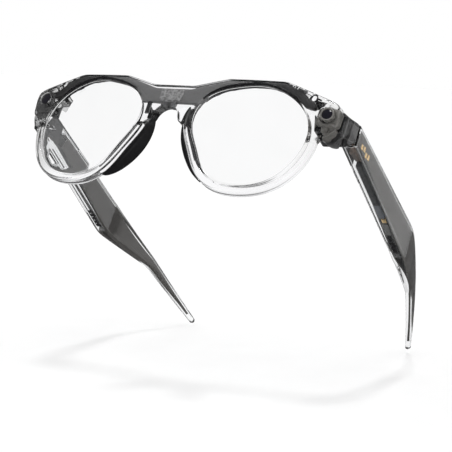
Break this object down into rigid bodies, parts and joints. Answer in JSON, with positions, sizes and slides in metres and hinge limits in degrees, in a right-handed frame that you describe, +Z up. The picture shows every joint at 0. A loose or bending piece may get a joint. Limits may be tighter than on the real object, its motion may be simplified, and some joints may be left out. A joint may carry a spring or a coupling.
{
  "type": "smart glasses",
  "caption": "Clear-framed smart glasses with round lenses, a camera and an indicator light in the end pieces, folding electronics temples and a sliding power switch.",
  "frame": {"origin": "middle of the object's width and depth, at the level of the surface it stands on (lower rims and temple tips)", "axes": "+Z up, front faces -Y, temples run towards +Y, +X is the wearer's left"},
  "size_m": [0.1494, 0.1507, 0.0487],
  "materials": {
    "clear_plastic": "clear gloss",
    "lens_plastic": "clear gloss",
    "charcoal_resin": "satin",
    "etched_film": "satin, fine pattern",
    "black_plastic": "gloss",
    "gold": "plated",
    "soft_rubber": "satin",
    "camera_metal": "bead blasted",
    "camera_glass": "coated gloss",
    "circuit_board": "satin",
    "hinge_steel": "satin",
    "grey_plate": "satin",
    "battery_wrap": "foil",
    "speaker_black": "satin",
    "brown_module": "satin",
    "button_metal": "satin"
  },
  "bodies": {
    "front": {"front_frame": "clear_plastic", "brow_cover": "clear_plastic", "brow_carrier": "charcoal_resin", "bridge_flex": "etched_film", "nose_mic": "black_plastic", "charge_contacts": "hinge_steel", "lens_left": "lens_plastic", "lens_right": "lens_plastic", "nose_pad_left": "soft_rubber", "nose_pad_right": "soft_rubber", "camera_housing": "camera_metal", "camera_bezel": "camera_metal", "camera_lens": "camera_glass", "camera_module": "circuit_board", "led_housing": "camera_metal", "led_window": "black_plastic", "led_board": "circuit_board", "hinge_front_left": "hinge_steel", "hinge_front_right": "hinge_steel", "hinge_screws": "hinge_steel"},
    "temple_left": {"temple_shell_left": "clear_plastic", "temple_cover_left": "clear_plastic", "temple_core_left": "grey_plate", "touch_plate_left": "grey_plate", "main_board_left": "circuit_board", "board_contacts_left": "gold", "battery_left": "battery_wrap", "speaker_left": "speaker_black", "speaker_grille_left": "black_plastic", "microphone_left": "brown_module", "hinge_temple_left": "hinge_steel"},
    "temple_right": {"temple_shell_right": "clear_plastic", "temple_cover_right": "clear_plastic", "temple_core_right": "grey_plate", "touch_plate_right": "grey_plate", "main_board_right": "circuit_board", "board_contacts_right": "gold", "battery_right": "battery_wrap", "speaker_right": "speaker_black", "speaker_grille_right": "black_plastic", "microphone_right": "brown_module", "hinge_temple_right": "hinge_steel"},
    "power_switch": {"power_switch": "button_metal"},
    "capture_button": {"capture_button": "button_metal"}
  },
  "joints": [
    {"name": "temple_left_fold", "type": "hinge", "parent": "front", "child": "temple_left", "pos_m": [0.0651, -0.05718, 0.0352], "axis": [0, 0, 1], "range_deg": [0, 88]},
    {"name": "temple_right_fold", "type": "hinge", "parent": "front", "child": "temple_right", "pos_m": [-0.0651, -0.05718, 0.0352], "axis": [0, 0, -1], "range_deg": [0, 78]},
    {"name": "power_switch_slide", "type": "slide", "parent": "temple_left", "child": "power_switch", "axis": [0.0103, 0.9846, -0.1743], "range_m": [0, 0.0024]},
    {"name": "capture_button_press", "type": "slide", "parent": "temple_right", "child": "capture_button", "axis": [0.0018, -0.1742, -0.9847], "range_m": [0, 0.0004], "stiffness_N_per_m": 800, "springref_m": -0.0006}
  ]
}
